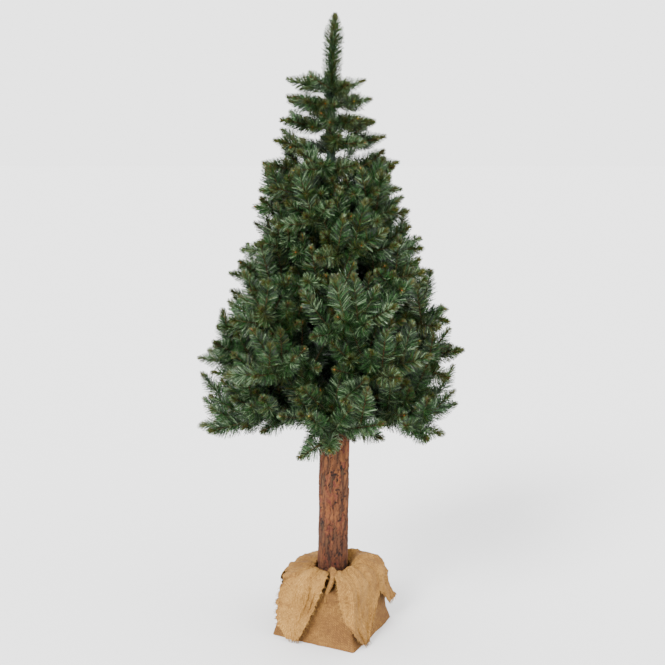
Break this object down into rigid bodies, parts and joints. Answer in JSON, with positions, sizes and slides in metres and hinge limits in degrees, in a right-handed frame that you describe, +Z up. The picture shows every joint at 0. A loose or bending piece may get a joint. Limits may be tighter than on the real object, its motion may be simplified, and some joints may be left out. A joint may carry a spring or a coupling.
{
  "type": "artificial christmas tree on a log trunk",
  "caption": "Slim artificial fir tree with needled branches in whorls on a wrapped pole, set in a bark-covered log trunk that stands in a square block wrapped in jute cloth.",
  "frame": {"origin": "centre of the stand block's flat underside", "axes": "+Z up along the tree, -Y towards the front of the picture, +X to its right"},
  "size_m": [0.78, 0.765, 1.8],
  "materials": {
    "block": "sawn, hidden by the cloth",
    "jute": "coarse plain-woven tan jute with frayed edges",
    "bark": "flaky reddish-brown pine bark, dry and matte",
    "pole": "dark green foil tape wound round a thin tube, satin",
    "needles": "narrow cut foil needles, green with a greyish sheen, on brown twisted-wire cores"
  },
  "bodies": {
    "root": {"stand_block": "block", "jute_wrap": "jute", "log_trunk": "bark", "pole": "pole", "leading_shoot": "needles", "drooping_spray_left": "needles", "drooping_spray_right": "needles", "branch_01_1": "needles", "branch_01_2": "needles", "branch_01_3": "needles", "branch_02_1": "needles", "branch_02_2": "needles", "branch_02_3": "needles", "branch_03_1": "needles", "branch_03_2": "needles", "branch_03_3": "needles", "branch_04_1": "needles", "branch_04_2": "needles", "branch_04_3": "needles", "branch_04_4": "needles", "branch_05_1": "needles", "branch_05_2": "needles", "branch_05_3": "needles", "branch_05_4": "needles", "branch_06_1": "needles", "branch_06_2": "needles", "branch_06_3": "needles", "branch_06_4": "needles", "branch_07_1": "needles", "branch_07_2": "needles", "branch_07_3": "needles", "branch_07_4": "needles", "branch_07_5": "needles", "branch_08_1": "needles", "branch_08_2": "needles", "branch_08_3": "needles", "branch_08_4": "needles", "branch_08_5": "needles", "branch_09_1": "needles", "branch_09_2": "needles", "branch_09_3": "needles", "branch_09_4": "needles", "branch_09_5": "needles", "branch_10_1": "needles", "branch_10_2": "needles", "branch_10_3": "needles", "branch_10_4": "needles", "branch_10_5": "needles", "branch_11_1": "needles", "branch_11_2": "needles", "branch_11_3": "needles", "branch_11_4": "needles", "branch_11_5": "needles", "branch_11_6": "needles", "branch_12_1": "needles", "branch_12_2": "needles", "branch_12_3": "needles", "branch_12_4": "needles", "branch_12_5": "needles", "branch_12_6": "needles"}
  },
  "joints": []
}
